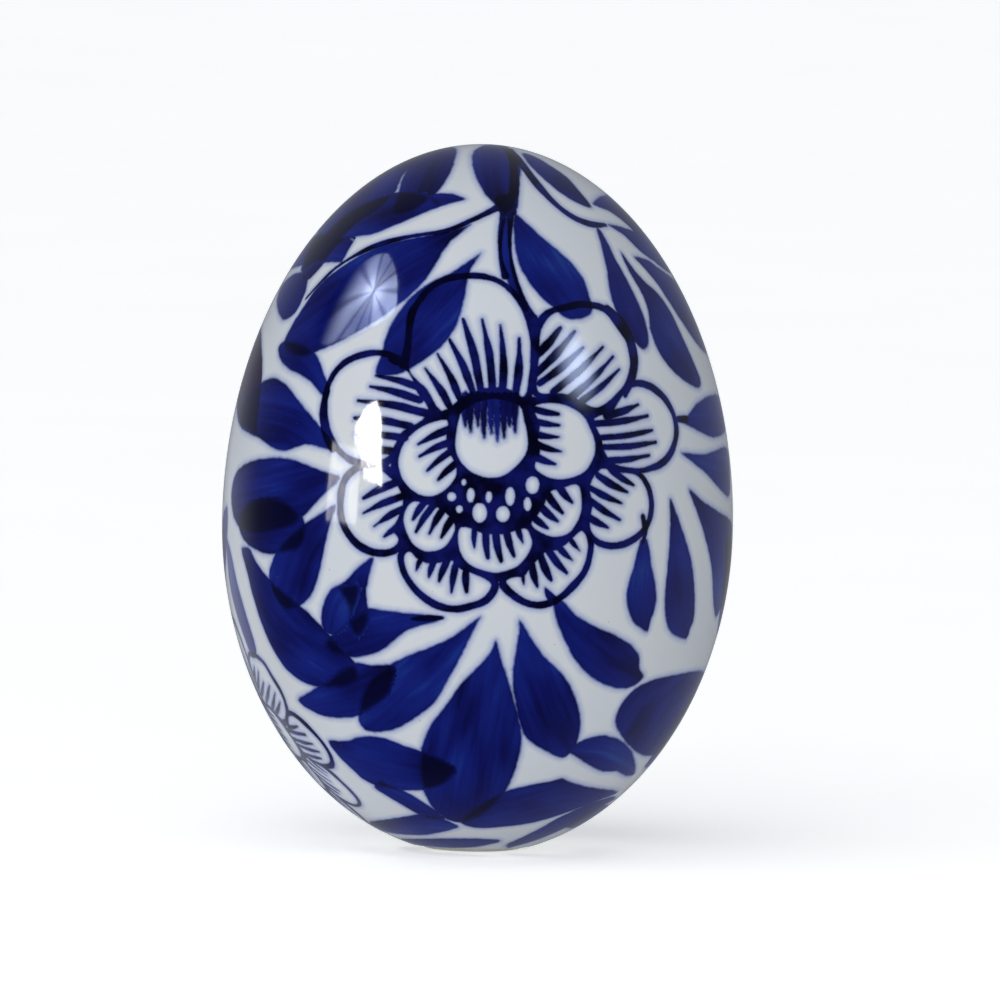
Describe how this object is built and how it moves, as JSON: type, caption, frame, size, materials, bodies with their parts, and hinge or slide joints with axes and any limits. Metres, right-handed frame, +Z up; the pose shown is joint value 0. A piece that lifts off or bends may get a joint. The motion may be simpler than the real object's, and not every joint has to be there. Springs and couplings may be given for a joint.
{
  "type": "decorated porcelain egg",
  "caption": "Hollow glazed porcelain egg with blue underglaze flower and leaf painting, standing on a small flat foot ring.",
  "frame": {"origin": "centre of the foot ring, on the resting plane", "axes": "+Z up along the axis of the egg, towards its narrower end; -Y is the painted front with the large flower"},
  "size_m": [0.0652, 0.0652, 0.09],
  "materials": {
    "porcelain": "unglazed, fine matte bisque",
    "painted_glaze": "clear gloss over cobalt brush painting",
    "clear_glaze": "clear gloss over white"
  },
  "bodies": {
    "root": {"porcelain_shell": "porcelain", "base_disc": "porcelain", "glaze_coat": "painted_glaze", "base_glaze": "clear_glaze"}
  },
  "joints": []
}
